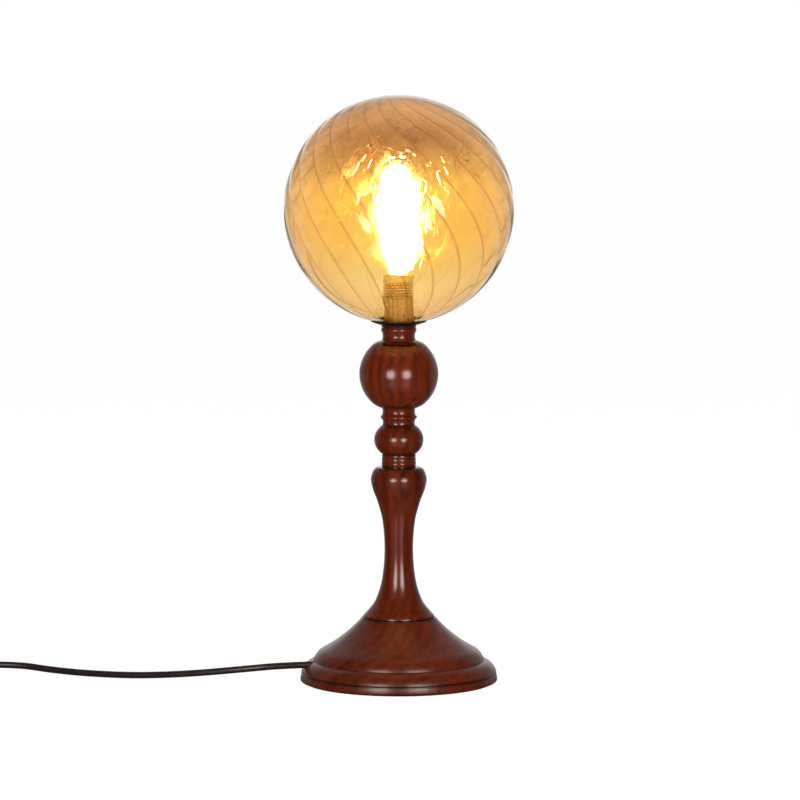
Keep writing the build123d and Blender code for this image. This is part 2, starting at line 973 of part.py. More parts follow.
def plug_pin(side):
    """The bare end of one pin, rounded at its tip."""
    y = side * pin_pitch / 2
    start = plug_length + pin_sleeve_length
    pin = rod((start, y, plug_thickness / 2), (start + pin_bare_length, y, plug_thickness / 2), pin_radius)
    return fillet(pin.edges().group_by(Axis.X)[-1], pin_round)


def coil_centre():
    """The middle of the coil's first half turn, where the cord comes straight from the switch."""
    x = switch_x - switch_length / 2 - sleeve_length - 44
    return x, switch_y - coil_outer_radius


def quarter_climb(start, middle, end):
    """Two arcs of a quarter turn each that climb from start to end through middle."""
    along = Vector(middle) - (Vector(start) + Vector(end)) / 2
    first = TangentArc(start, middle, tangent=along)
    return [first, TangentArc(middle, end, tangent=first % 1)]


def coil_path():
    """The coil's middle line: a spiral in, a climb of one layer, and a spiral out over it."""
    x, y = coil_centre()
    z = cord_radius
    step = coil_pitch / 2
    radius = coil_outer_radius
    here = (x, y + radius, z)
    edges = [Line((x + coil_lead, y + radius, z), here)]
    side = -1
    for _ in range(coil_half_turns):
        end = (x, here[1] + side * 2 * radius, z)
        edges.append(ThreePointArc(here, (x + side * radius, here[1] + side * radius, z), end))
        here, side, radius = end, -side, radius - step
    end = (x, here[1] + side * 2 * radius, z + coil_layer)
    middle = (x + side * radius, here[1] + side * radius, z + coil_layer / 2)
    edges += quarter_climb(here, middle, end)
    here, side, z = end, -side, z + coil_layer
    for _ in range(coil_half_turns):
        radius += step
        end = (x, here[1] + side * 2 * radius, z)
        edges.append(ThreePointArc(here, (x + side * radius, here[1] + side * radius, z), end))
        here, side = end, -side
    edges.append(Line(here, (here[0] + coil_lead, here[1], z)))
    return Wire(edges)


def least_gap(path):
    """The least free distance between turns of the coil, measured on points of its middle line."""
    count = 600
    spacing = path.length / count
    points = [path @ (i / count) for i in range(count + 1)]
    near = int(4 * cord_radius / spacing)
    least = min(
        (points[j] - points[i]).length
        for i in range(0, count + 1, 2)
        for j in range(i + near, count + 1)
    )
    return least - 2 * cord_radius


def cord_coil():
    """The spare cord wound flat in two layers."""
    path = coil_path()
    tube = sweep(Plane(origin=path @ 0, z_dir=path % 0) * Circle(cord_radius), path=path)
    whole = math.pi * cord_radius**2 * path.length
    print("cord_coil length", round(path.length, 1), "least gap", round(least_gap(path), 2),
          "volume over section times length", round(tube.volume / whole, 4))
    return tube


def cord_switch_to_coil():
    """The short free cord between the switch and the coil."""
    start = switch_x - switch_length / 2 - sleeve_length
    x, y = coil_centre()
    end = x + coil_lead
    points = [
        (start, switch_y, switch_parting),
        (start - 11, switch_y, switch_parting),
        (start - 24, y + coil_outer_radius + 0.4, cord_radius + 1.6),
        (end + 4, y + coil_outer_radius, cord_radius),
        (end, y + coil_outer_radius, cord_radius),
    ]
    return tube_along("cord_switch_to_coil", points, cord_radius)


def cord_coil_to_plug():
    """The free cord from the top layer of the coil to the plug."""
    end = coil_path() @ 1
    away = math.radians(plug_degrees)
    reach = boot_length
    mouth = (plug_x - reach * math.cos(away), plug_y - reach * math.sin(away), plug_thickness / 2)
    lead = 14
    points = [
        (end.X + coil_end_gap, end.Y, end.Z),
        (end.X + lead, end.Y, end.Z),
        (mouth[0] - lead * math.cos(away), mouth[1] - lead * math.sin(away), mouth[2]),
        mouth,
    ]
    return tube_along("cord_coil_to_plug", points, cord_radius)


pieces = {
    "base_pad": base_pad(),
    "wooden_base": wooden_base(),
    "vase_column": vase_column(),
    "small_ball_turning": small_ball_turning(),
    "large_ball_turning": large_ball_turning(),
    "threaded_tube": threaded_tube(),
    "tube_washer": tube_washer(),
    "tube_nut": tube_nut(),
    "shade_dish": shade_dish(),
    "shade_gasket": shade_gasket(),
    "glass_globe": glass_globe(),
    "holder_cap": holder_cap(),
    "holder_shell": holder_shell(),
    "holder_insert": holder_insert(),
    "holder_side_contact": holder_side_contact(),
    "holder_centre_contact": holder_centre_contact(),
    "bulb_contact": bulb_contact(),
    "bulb_insulator": bulb_insulator(),
    "bulb_cap": bulb_cap(),
    "bulb_glass": bulb_glass(),
    "bulb_stem": bulb_stem(),
    "bulb_support": bulb_support(),
    "cord_clamp": cord_clamp(),
    "cord_inside": cord_inside(),
    "live_wire": inner_wire("live_wire", 1),
    "neutral_wire": inner_wire("neutral_wire", -1),
    "cord_to_switch": cord_to_switch(),
    "switch_case_bottom": at_switch(switch_case_bottom()),
    "switch_case_top": at_switch(switch_case_top()),
    "switch_rocker": at_switch(switch_rocker()),
    "switch_pivot": at_switch(switch_pivot()),
    "cord_switch_to_coil": cord_switch_to_coil(),
    "cord_coil": cord_coil(),
    "cord_coil_to_plug": cord_coil_to_plug(),
    "plug_body": at_plug(plug_body()),
    "plug_boot": at_plug(plug_boot()),
}
for number in range(filaments):
    pieces[f"bulb_filament_{number + 1}"] = bulb_filament(number)
for number, side in enumerate((-1, 1), start=1):
    pieces[f"terminal_screw_{number}"] = terminal_screw(side * terminal_offset)
    pieces[f"clamp_screw_{number}"] = clamp_screw(clamp_screw_sides()[number - 1])
    pieces[f"switch_screw_{number}"] = at_switch(case_screw(number - 1))
    pieces[f"switch_contact_{number}"] = at_switch(switch_contact(side))
    pieces[f"switch_sleeve_{number}"] = at_switch(switch_sleeve(-side))
    pieces[f"plug_pin_sleeve_{number}"] = at_plug(plug_pin_sleeve(side))
    pieces[f"plug_pin_{number}"] = at_plug(plug_pin(side))

os.makedirs("parts", exist_ok=True)
for name, piece in pieces.items():
    export_step(piece, f"parts/{name}.step")
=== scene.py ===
"""A turned wooden table lamp with a swirled glass globe, lit, on a pale studio floor.

Each part of the lamp has an operator of its own, and the panel in the sidebar lists them.
+Z is up and the lamp's front looks toward -Y. Lengths are metres, but the points of half
sections and cords are in millimetres.
"""

import math

import bmesh
import bpy
from bpy.props import FloatProperty, FloatVectorProperty, IntProperty, PointerProperty
from bpy.types import Operator, Panel, PropertyGroup
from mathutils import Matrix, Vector


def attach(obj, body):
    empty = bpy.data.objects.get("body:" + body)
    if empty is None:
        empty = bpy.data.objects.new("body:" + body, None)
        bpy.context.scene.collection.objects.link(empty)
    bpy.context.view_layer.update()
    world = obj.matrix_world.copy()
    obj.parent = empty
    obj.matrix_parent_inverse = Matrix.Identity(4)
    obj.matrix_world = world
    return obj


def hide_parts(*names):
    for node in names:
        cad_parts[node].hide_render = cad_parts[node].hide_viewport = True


bl_info = {
    "name": "Swirled Globe Table Lamp",
    "version": (1, 0, 0),
    "blender": (4, 5, 0),
    "location": "View3D > Sidebar > Lamp",
    "description": "Dresses a turned wooden table lamp with a swirled glass globe",
    "category": "Object",
}

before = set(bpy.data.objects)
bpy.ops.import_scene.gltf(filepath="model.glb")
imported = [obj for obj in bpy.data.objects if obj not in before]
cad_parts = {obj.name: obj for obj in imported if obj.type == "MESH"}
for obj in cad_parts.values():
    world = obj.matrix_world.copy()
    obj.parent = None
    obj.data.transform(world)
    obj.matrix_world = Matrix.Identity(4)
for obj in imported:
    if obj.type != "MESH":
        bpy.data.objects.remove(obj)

MM = 0.001

# Heights above the floor at which the pieces meet, in millimetres
FOOT = 1.2
RECESS_TOP = 20.2
BASE_TOP = 58.0
COLUMN_TOP = 192.2
SMALL_TOP = 244.7
WOOD_TOP = 318.8
DISH_TOP = 319.8
CAP_TOP = 344.0
SHELL_TOP = 365.3
BULB_NECK = 366.5

# Radii of what is hidden in the wood, and lengths of its joints, in millimetres
RECESS = 52
BORE = 5.3
TENON = 9
TENON_LENGTH = 9
SOCKET = 9.05
SOCKET_DEPTH = 9.3

# The base's hole for the cord: its direction in degrees, and in metres its height, how far from
# the lamp's axis it starts and ends, and its radius
CORD_WAY = 189
CORD_HEIGHT = 0.017
HOLE = (0.049, 0.0906)
HOLE_RADIUS = 0.0035

# Points of the cord from base to switch, from switch to coil, and from coil to plug
TO_SWITCH = [
    (-69.1, -10.95, 17), (-101.7, -16.1, 17), (-139, -14.5, 13.2),
    (-184, -4, 7.6), (-232, 11, 3.4), (-278, 26, 3.0),
    (-314, 38, 4.6), (-341, 45, 8), (-367, 45, 8),
]
TO_COIL = [(-457, 45, 8), (-468, 45, 8), (-481, 45.4, 4.6), (-491, 45, 3), (-495, 45, 3)]
TO_PLUG = [(-495, -41, 9.6), (-481, -41, 9.6), (-451.67, -41.27, 6.85), (-437.81, -43.22, 6.85)]

# Heights of the coves and joints that get painted shade, its reach, and the band under the dish
# that gets painted shadow, in metres
COVES = (0.0084, 0.0580, 0.1924, 0.2040, 0.2294, 0.2468, 0.3020)
COVE_REACH = (0.0003, 0.0022)
SHADED_LIP = (0.3152, 0.3168)

# The globe's glass, in metres. Its crown has sunk a little, up to 45 degrees from the pole.
GLOBE_CENTRE = 0.42098
OUTER = 0.10159
INNER = 0.1001
MOUTH = 0.020
SINK = 0.0012
SINK_REACH = 45

# How fast the lobes wind on the way from the pole, the columns of mesh in one, and how deep its
# crease is on the inside, as a share of the depth outside
TWIST = 0.6
LOBE_COLUMNS = 16
INNER_CREASE = 0.8

# The lampholder's thread, flutes and ribs: lengths in millimetres, and how many there are
THREAD_PITCH = 2.4
THREAD_END = 356.2
THREAD_DEPTH = 0.90
FLUTES = 20
FLUTE_DEPTH = 0.84
RIBS = 30
RIB_DEPTH = 0.60

# Colours of the bulb's light, and of its glass where it is seen at a slant
GLOW = (1, 0.86, 0.62)
GLOWING_RIM = (0.94, 0.62, 0.30)

# How far the middle of a quarter circle with radius 1 stands out from its chord
QUARTER = 1 - math.sqrt(0.5)

# The photograph's camera: its place in metres, its tilt in degrees, its lens and sensor in
# millimetres
CAMERA_SPOT = (0.00106, -4.0, 0.640)
CAMERA_TILT = 84.455
CAMERA_LENS = 204.36
SENSOR = 36


# Settings


def colour_property(name, description, default):
    return FloatVectorProperty(
        name=name, description=description, subtype="COLOR", default=default, min=0, max=1
    )


class WoodSettings(PropertyGroup):
    dark: colour_property(
        "Dark grain", "Colour of the stain in the grain's dark lines", (0.018, 0.0022, 0.0007)
    )
    light: colour_property(
        "Light grain", "Colour of the stain between the grain's lines", (0.138, 0.0185, 0.0030)
    )
    lacquer: FloatProperty(
        name="Lacquer",
        description="How much clear lacquer lies over the stain",
        subtype="FACTOR",
        default=1.0, min=0, max=1,
    )


class GlobeSettings(PropertyGroup):
    lobes: IntProperty(
        name="Lobes",
        description="Number of pressed lobes round the globe",
        default=20, min=3, max=60,
    )
    crease: FloatProperty(
        name="Crease depth",
        description="How deep the creases between the lobes are",
        unit="LENGTH",
        default=0.0013, min=0, max=0.0013,
    )
    swirl: FloatProperty(
        name="Swirl",
        description="How far the lobes wind round the globe",
        subtype="ANGLE",
        default=math.radians(115), min=0, max=math.radians(360),
    )
    tint: colour_property(
        "Amber", "Colour of the glass, looked through squarely", (0.975, 0.695, 0.262)
    )
    smoke: colour_property(
        "Smoke", "Colour of the browner glass in the globe's upper part", (0.57, 0.35, 0.18)
    )
    edge: colour_property(
        "Edge", "Colour of the glass, looked through at a slant", (0.975, 0.71, 0.425)
    )


class LightSettings(PropertyGroup):
    bulb: FloatProperty(
        name="Bulb glow",
        description="Brightness of the bulb's glass",
        default=15.0, min=0, max=50,
    )
    filament: FloatProperty(
        name="Filament glow",
        description="Brightness of the four filaments",
        default=40.0, min=0, max=400,
    )
    softbox: FloatProperty(
        name="Softboxes",
        description="Power of each of the two front softboxes",
        unit="POWER",
        default=4.6, min=0, max=500,
    )
    floor: colour_property("Floor", "Colour of the studio floor", (0.86, 0.86, 0.86))


class CordSettings(PropertyGroup):
    diameter: FloatProperty(
        name="Diameter",
        description="Thickness of the mains cord",
        unit="LENGTH",
        default=0.006, min=0.004, max=0.009,
    )
    jacket: colour_property("Jacket", "Colour of the cord's jacket", (0.014, 0.010, 0.009))


class LampSettings(PropertyGroup):
    wood: PointerProperty(type=WoodSettings, name="Wood", description="Turned wood and its lacquer")
    globe: PointerProperty(type=GlobeSettings, name="Globe", description="Swirled glass globe")
    light: PointerProperty(type=LightSettings, name="Light", description="Bulb, softboxes, floor")
    cord: PointerProperty(type=CordSettings, name="Cord", description="Mains cord")


def settings():
    return bpy.context.scene.lamp


# Node work

COLOUR = "NodeSocketColor"
VALUE = "NodeSocketFloat"


def feed(tree, node, inputs):
    """Fills inputs of a node, each with a link or with a plain value."""
    for name, value in inputs.items():
        if isinstance(value, bpy.types.NodeSocket):
            tree.links.new(value, node.inputs[name])
        else:
            node.inputs[name].default_value = value


def place(tree, kind, inputs=None, **fields):
    """Adds a node, sets its fields and fills its inputs."""
    node = tree.nodes.new(kind)
    for name, value in fields.items():
        setattr(node, name, value)
    feed(tree, node, inputs or {})
    return node


def sums(tree, operation, *values):
    """The result of a Math node on one, two or three values."""
    return place(tree, "ShaderNodeMath", dict(enumerate(values)), operation=operation).outputs[0]


def product(tree, first, second):
    return sums(tree, "MULTIPLY", first, second)


def total(tree, first, second):
    return sums(tree, "ADD", first, second)


def hypotenuse(tree, first, second):
    """How long the long side is, over two sides at a right angle."""
    squares = [product(tree, side, side) for side in (first, second)]
    return sums(tree, "SQRT", total(tree, *squares))


def with_alpha(value):
    """A colour with full alpha. A socket or a number stays as it is."""
    return (*value[:3], 1) if hasattr(value, "__len__") else value


def blended(tree, factor, first, second):
    """A colour between two others."""
    colours = {0: factor, 6: with_alpha(first), 7: with_alpha(second)}
    return place(tree, "ShaderNodeMix", colours, data_type="RGBA").outputs[2]


def ramped(tree, value, low, high, to_low=0.0, to_high=1.0, **fields):
    """A value moved from one range to another, with its ends held."""
    ends = {"From Min": low, "From Max": high, "To Min": to_low, "To Max": to_high}
    return place(tree, "ShaderNodeMapRange", {"Value": value, **ends}, **fields).outputs[0]


def own_space(tree):
    """The object's own coordinates."""
    return place(tree, "ShaderNodeTexCoord").outputs["Object"]


def axis(tree, vector, index):
    """One coordinate of a place: 0 is x, 1 is y and 2 is z."""
    return place(tree, "ShaderNodeSeparateXYZ", {0: vector}).outputs[index]


def spotted(tree, vector, scale, detail=3.0, roughness=0.5):
    """Noise over the object's own space."""
    values = {"Vector": vector, "Scale": scale, "Detail": detail, "Roughness": roughness}
    return place(tree, "ShaderNodeTexNoise", values).outputs["Fac"]


def stretched(tree, vector, x, y, z):
    """The object's space with each axis scaled by itself."""
    return place(tree, "ShaderNodeMapping", {"Vector": vector, "Scale": (x, y, z)}).outputs[0]


def new_group(name, inputs, outputs):
    """An empty shader group with its sockets, and its two ends."""
    tree = bpy.data.node_groups.new(name, "ShaderNodeTree")
    for label, kind, default in inputs:
        item = tree.interface.new_socket(label, in_out="INPUT", socket_type=kind)
        item.default_value = default
    for label, kind in outputs:
        tree.interface.new_socket(label, in_out="OUTPUT", socket_type=kind)
    return tree, tree.nodes.new("NodeGroupInput"), tree.nodes.new("NodeGroupOutput")


def wood_grain_group():
    """Streaks along the turned blank, faint growth rings, pores, and painted shade in the coves and
    a painted shadow under the dish.
    """
    tree, inside, outside = new_group(
        "Turned wood grain",
        [
            ("Dark", COLOUR, (0.04, 0.006, 0.002, 1)),
            ("Light", COLOUR, (0.15, 0.03, 0.01, 1)),
            ("Streak", VALUE, 260.0),
        ],
        [("Color", COLOUR), ("Height", VALUE), ("Roughness", VALUE)],
    )
    dark = inside.outputs["Dark"]
    where = own_space(tree)
    # The blank was cut beside the heart of the log, so its rings aren't centred
    heart = {"Vector": where, "Location": (0.031, 0.012, 0)}
    blank = place(tree, "ShaderNodeMapping", heart).outputs[0]
    wander = spotted(tree, stretched(tree, blank, 1, 1, 0.12), 26, 2)
    offset = place(tree, "ShaderNodeCombineXYZ", {0: product(tree, wander, 0.016)}).outputs[0]
    bend = {0: blank, 1: (1, 1, 0.06), 2: offset}
    bent = place(tree, "ShaderNodeVectorMath", bend, operation="MULTIPLY_ADD")
    growth = {"Scale": 34.0, "Distortion": 1.5, "Detail": 2.0, "Detail Scale": 1.2}
    rings = place(
        tree,
        "ShaderNodeTexWave",
        {"Vector": bent.outputs[0], **growth},
        wave_type="RINGS",
        rings_direction="Z",
    ).outputs["Fac"]
    along = stretched(tree, blank, 1, 1, 0.035)
    streaks = spotted(tree, along, inside.outputs["Streak"], 4, 0.6)
    fine = spotted(tree, stretched(tree, blank, 1, 1, 0.05), 1400, 2, 0.6)
    clouds = spotted(tree, stretched(tree, blank, 1, 1, 0.4), 22, 2)
    broad = total(tree, product(tree, streaks, 0.62), product(tree, clouds, 0.38))
    grain = total(tree, product(tree, rings, 0.10), broad)
    pores = ramped(tree, fine, 0.60, 0.72)
    plain = blended(tree, ramped(tree, grain, 0.30, 0.76), dark, inside.outputs["Light"])
    in_pores = blended(tree, 0.75, plain, dark)
    colour = blended(tree, product(tree, pores, 0.6), plain, in_pores)
    height = axis(tree, where, 2)
    # Painted shade: the wood is darkened in a band under the dish and along each cove and joint
    stain = ramped(tree, height, *SHADED_LIP)
    for cove in COVES:
        away = sums(tree, "ABSOLUTE", sums(tree, "SUBTRACT", height, cove))
        stain = sums(tree, "MAXIMUM", stain, ramped(tree, away, *COVE_REACH, 1.0, 0.0))
    results = {
        "Color": blended(tree, product(tree, stain, 0.75), colour, dark),
        "Height": sums(tree, "SUBTRACT", streaks, product(tree, pores, 0.5)),
        "Roughness": ramped(tree, streaks, 0.3, 0.7, 0.30, 0.42),
    }
    feed(tree, outside, results)
    return tree


def fine_wear_group():
    """Scuffs and a haze of handling: a mask, a roughness and a small height."""
    tree, inside, outside = new_group(
        "Fine wear",
        [("Scale", VALUE, 400.0), ("Low", VALUE, 0.3), ("High", VALUE, 0.5)],
        [("Mask", VALUE), ("Roughness", VALUE), ("Height", VALUE)],
    )
    where = own_space(tree)
    grit = spotted(tree, where, inside.outputs["Scale"], 4, 0.6)
    haze = spotted(tree, where, 60, 3, 0.55)
    mask = ramped(tree, product(tree, grit, haze), 0.18, 0.42)
    rough = ramped(tree, mask, 0.0, 1.0, inside.outputs["Low"], inside.outputs["High"])
    feed(tree, outside, {"Mask": mask, "Roughness": rough, "Height": grit})
    return tree


def swirl_group():
    """How near a point of the globe lies to a crease, how far from the pole, and on which skin."""
    globe = settings().globe
    tree, inside, outside = new_group(
        "Globe swirl",
        [("Centre", VALUE, GLOBE_CENTRE), ("Width", VALUE, 0.1)],
        [("Crease", VALUE), ("Polar", VALUE), ("Outside", VALUE)],
    )
    x, y, z = place(tree, "ShaderNodeSeparateXYZ", {0: own_space(tree)}).outputs[:3]
    rise = sums(tree, "SUBTRACT", z, inside.outputs["Centre"])
    across = hypotenuse(tree, x, y)
    polar = sums(tree, "ARCTAN2", across, rise)
    turn = product(tree, sums(tree, "SINE", product(tree, polar, TWIST)), globe.swirl)
    around = sums(tree, "SUBTRACT", sums(tree, "ARCTAN2", y, x), turn)
    lobe = sums(tree, "FRACT", product(tree, around, globe.lobes / (2 * math.pi)))
    near = sums(tree, "MINIMUM", lobe, sums(tree, "SUBTRACT", 1.0, lobe))
    width = inside.outputs["Width"]
    crease = ramped(tree, near, 0.0, width, 1.0, 0.0, interpolation_type="SMOOTHSTEP")
    reach = hypotenuse(tree, across, rise)
    skin = sums(tree, "GREATER_THAN", reach, INNER + 0.0001)
    feed(tree, outside, {"Crease": crease, "Polar": polar, "Outside": skin})
    return tree


GROUPS = {
    "Turned wood grain": wood_grain_group,
    "Fine wear": fine_wear_group,
    "Globe swirl": swirl_group,
}


def group_node(tree, name, inputs):
    """Places a shared group in a material, and builds the group the first time."""
    group = bpy.data.node_groups.get(name) or GROUPS[name]()
    inputs = {label: with_alpha(value) for label, value in inputs.items()}
    return place(tree, "ShaderNodeGroup", inputs, node_tree=group)


# Materials


def new_material(name):
    """A new material, its nodes and its Principled shader."""
    material = bpy.data.materials.new(name)
    material.use_nodes = True
    return material, material.node_tree, material.node_tree.nodes["Principled BSDF"]


def bumped(tree, shader, height, distance, strength):
    """Feeds a height to the shader's normal."""
    values = {"Height": height, "Distance": distance, "Strength": strength}
    bump = place(tree, "ShaderNodeBump", values)
    feed(tree, shader, {"Normal": bump.outputs["Normal"]})


def lacquered_wood(name, haze):
    """Stained wood under lacquer. The haze is how soft the lacquer's reflections are."""
    wood = settings().wood
    material, tree, shader = new_material(name)
    grain = group_node(tree, "Turned wood grain", {"Dark": wood.dark, "Light": wood.light})
    looks = {
        "Base Color": grain.outputs["Color"],
        "Roughness": grain.outputs["Roughness"],
        "Specular IOR Level": 0.0,
        "Coat Weight": wood.lacquer,
        "Coat Roughness": haze,
    }
    feed(tree, shader, looks)
    bumped(tree, shader, grain.outputs["Height"], 0.0001, 0.35)
    return material


def worn_surface(name, colour, rubbed, low, high, scale, depth, strength):
    """A material whose colour, sheen and skin vary with fine wear."""
    material, tree, shader = new_material(name)
    wear = group_node(tree, "Fine wear", {"Scale": scale, "Low": low, "High": high})
    tint = blended(tree, wear.outputs["Mask"], colour, rubbed)
    feed(tree, shader, {"Base Color": tint, "Roughness": wear.outputs["Roughness"]})
    bumped(tree, shader, wear.outputs["Height"], depth, strength)
    return material, tree, shader, tint


def metal(name, colour, low, high, scale=500.0, rubbed=None):
    """A metal whose sheen and colour vary with fine wear."""
    rubbed = rubbed or [0.8 * part for part in colour]
    material, _, shader, _ = worn_surface(name, colour, rubbed, low, high, scale, 0.00003, 0.3)
    shader.inputs["Metallic"].default_value = 1
    return material


def threaded_gold(name):
    """Gold metal with painted shade in the grooves of its thread."""
    gold, rubbed = (0.86, 0.67, 0.34), (0.74, 0.55, 0.27)
    material, tree, shader, tint = worn_surface(
        name, gold, rubbed, 0.24, 0.38, 500.0, 0.00003, 0.3
    )
    height = axis(tree, own_space(tree), 2)
    wave = sums(tree, "COSINE", product(tree, height, 2 * math.pi / (THREAD_PITCH * MM)))
    threaded = ramped(tree, height, THREAD_END * MM, (THREAD_END + 0.4) * MM, 1, 0)
    # Painted shade: the thread's grooves are darkened
    groove = product(tree, ramped(tree, wave, -0.1, -0.8), threaded)
    groove_shaded = blended(tree, groove, tint, (0.38, 0.26, 0.12))
    feed(tree, shader, {"Base Color": groove_shaded, "Metallic": 1})
    return material


def moulded(name, colour, low, high, scale=900.0, depth=0.00006):
    """A moulded plastic or rubber with a fine grained skin."""
    lighter = [min(1, 1.35 * part + 0.004) for part in colour]
    return worn_surface(name, colour, lighter, low, high, scale, depth, 0.4)[0]


def cord_jacket(name):
    """The smooth jacket of the mains cord."""
    jacket = settings().cord.jacket
    lighter = [1.5 * part for part in jacket]
    return worn_surface(name, jacket, lighter, 0.26, 0.38, 700.0, 0.00008, 0.4)[0]


def amber_glass(name):
    """Amber glass, browner near the top, with painted shade along its creases, and paler where seen
    at a slant.
    """
    globe = settings().globe
    material, tree, shader = new_material(name)
    swirl = group_node(tree, "Globe swirl", {"Width": 0.085})
    polar = swirl.outputs["Polar"]
    where = own_space(tree)
    wavy = total(tree, polar, product(tree, spotted(tree, where, 16, 3), 0.7))

    # Smoke in a belt above the middle, and paler glass toward the mouth
    high = ramped(tree, wavy, 1.25, 1.75, 1.0, 0.0)
    crown = ramped(tree, wavy, 0.35, 0.85, 0.25, 1.0)
    body = blended(tree, product(tree, high, crown), globe.tint, globe.smoke)
    pale = [0.985, 1.21 * globe.tint[1], 1.8 * globe.tint[2]]
    body = blended(tree, ramped(tree, wavy, 2.1, 2.7), body, pale)
    facing = place(tree, "ShaderNodeLayerWeight", {"Blend": 0.5}).outputs["Facing"]
    tint = blended(tree, ramped(tree, facing, 0.12, 0.5), body, globe.edge)

    # Painted shade along the creases, darkest on the skin that is turned to the eye
    line = [0.70 * globe.edge[0], 0.55 * globe.edge[1], 0.40 * globe.edge[2]]
    turned_away = place(tree, "ShaderNodeNewGeometry").outputs["Backfacing"]
    near = product(tree, swirl.outputs["Outside"], sums(tree, "SUBTRACT", 1.0, turned_away))
    depth = product(tree, swirl.outputs["Crease"], ramped(tree, near, 0.0, 1.0, 0.25, 1.0))

    # Fine grit over the upper part alone
    grit = ramped(tree, spotted(tree, where, 1600, 1), 0.54, 0.60, 0.0, 0.20)
    clear = ramped(tree, polar, 1.9, 2.2, 1.0, 0.1)
    looks = {
        "Base Color": blended(tree, depth, tint, line),
        "Roughness": product(tree, grit, clear),
        "Transmission Weight": 1,
        "IOR": 1.46,
    }
    feed(tree, shader, looks)

    # Ripples and thin ridges in the outer skin break up the glow, but fade out toward the rim
    ripple = spotted(tree, stretched(tree, where, 1, 1, 0.55), 34, 1.5, 0.5)
    scars = spotted(tree, stretched(tree, where, 1.5, 1.5, 0.45), 90, 1, 0.5)
    from_ridge = sums(tree, "ABSOLUTE", sums(tree, "SUBTRACT", scars, 0.5))
    ridge = ramped(tree, from_ridge, 0.0, 0.032, 1.0, 0.0)
    patch = ramped(tree, spotted(tree, where, 34, 1), 0.41, 0.50)
    high_up = ramped(tree, polar, 1.2, 1.5, 1.0, 0.25)
    marks = product(tree, product(tree, ridge, patch), high_up)
    relief = total(tree, ripple, product(tree, marks, 0.115))
    calm = product(tree, ramped(tree, facing, 0.14, 0.34, 1.0, 0.06), clear)
    skin = product(tree, calm, swirl.outputs["Outside"])
    bumped(tree, shader, product(tree, relief, skin), 0.0040, 0.8)
    return material


def clear_glass(name, colour, lit):
    """Clear lamp glass. Where it is lit it glows, less so at its rim."""
    material, tree, shader = new_material(name)
    cloud = spotted(tree, own_space(tree), 90, 2)
    body = blended(tree, cloud, colour, [0.93 * part for part in colour])
    if lit:
        even = blended(tree, cloud, GLOW, [part**1.6 for part in GLOW])
        facing = place(tree, "ShaderNodeLayerWeight", {"Blend": 0.5}).outputs["Facing"]
        slant = ramped(tree, facing, 0.38, 0.64)
        emission = blended(tree, slant, even, [0.05 * part**3 for part in GLOW])
        strength = settings().light.bulb
        feed(tree, shader, {"Emission Color": emission, "Emission Strength": strength})
        body = blended(tree, slant, body, GLOWING_RIM)
    looks = {
        "Base Color": body,
        "Roughness": ramped(tree, cloud, 0.3, 0.7, 0.0, 0.06),
        "Transmission Weight": 1,
        "IOR": 1.45,
    }
    feed(tree, shader, looks)
    bumped(tree, shader, cloud, 0.0001, 0.2)
    return material


def filament(name):
    """A coated filament, white hot and a little uneven."""
    material, tree, shader = new_material(name)
    hot = (1.0, 0.80, 0.45)
    beads = spotted(tree, own_space(tree), 700, 2)
    looks = {
        "Base Color": (1.0, 0.75, 0.35, 1),
        "Roughness": 0.6,
        "Emission Color": blended(tree, beads, hot, [part**1.5 for part in hot]),
        "Emission Strength": settings().light.filament,
    }
    feed(tree, shader, looks)
    return material


# The maker of each finish, and what it takes besides the finish's name
FINISHES = {
    "Lacquered wood": (lacquered_wood, 0.20),
    "Satin wood": (lacquered_wood, 0.30),
    "Amber glass": (amber_glass,),
    "Stem glass": (clear_glass, (0.97, 0.97, 0.95), False),
    "Bulb glass": (clear_glass, (1.0, 0.95, 0.85), True),
    "Filament": (filament,),
    "Cord jacket": (cord_jacket,),
    "Threaded gold": (threaded_gold,),
    "Gold metal": (metal, (0.60, 0.45, 0.23), 0.24, 0.36),
    "Black dish metal": (metal, (0.020, 0.017, 0.015), 0.38, 0.52, 600.0, (0.035, 0.030, 0.026)),
    "Zinc": (metal, (0.62, 0.61, 0.58), 0.30, 0.45),
    "Brass": (metal, (0.80, 0.58, 0.26), 0.22, 0.38),
    "Nickel": (metal, (0.70, 0.68, 0.64), 0.15, 0.30),
    "Base felt": (moulded, (0.012, 0.012, 0.013), 0.85, 0.95, 2600.0, 0.0004),
    "Dark silicone": (moulded, (0.016, 0.013, 0.012), 0.5, 0.62, 900.0),
    "Porcelain": (moulded, (0.80, 0.77, 0.70), 0.18, 0.3, 500.0, 0.00003),
    "Black glass": (moulded, (0.008, 0.008, 0.010), 0.05, 0.12, 500.0, 0.00002),
    "Brown wire": (moulded, (0.11, 0.035, 0.012), 0.35, 0.5),
    "Blue wire": (moulded, (0.02, 0.09, 0.36), 0.35, 0.5),
    "Black plastic": (moulded, (0.010, 0.010, 0.011), 0.32, 0.48),
    "Soft black": (moulded, (0.013, 0.012, 0.012), 0.45, 0.6, 1200.0),
}


def finish(name):
    """The material of that name, made the first time that it is asked for."""
    maker, *values = FINISHES[name]
    return bpy.data.materials.get(name) or maker(name, *values)


# Mesh work


def stood(name, data):
    """A new object in the scene that holds the data."""
    thing = bpy.data.objects.new(name, data)
    bpy.context.scene.collection.objects.link(thing)
    return thing


def put(name, mesh, material, body, node):
    """A mesh as a piece of the lamp that stands for the named solid."""
    piece = stood(name, mesh)
    mesh.materials.append(finish(material))
    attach(piece, body)
    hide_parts(node)
    return piece


def dress(material, *names):
    """Gives solids that are shown as they are a finer material."""
    for name in names:
        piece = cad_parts[name]
        if not piece.material_slots:
            piece.data.materials.append(finish(material))
        for holder in piece.material_slots:
            holder.link = "OBJECT"
            holder.material = finish(material)


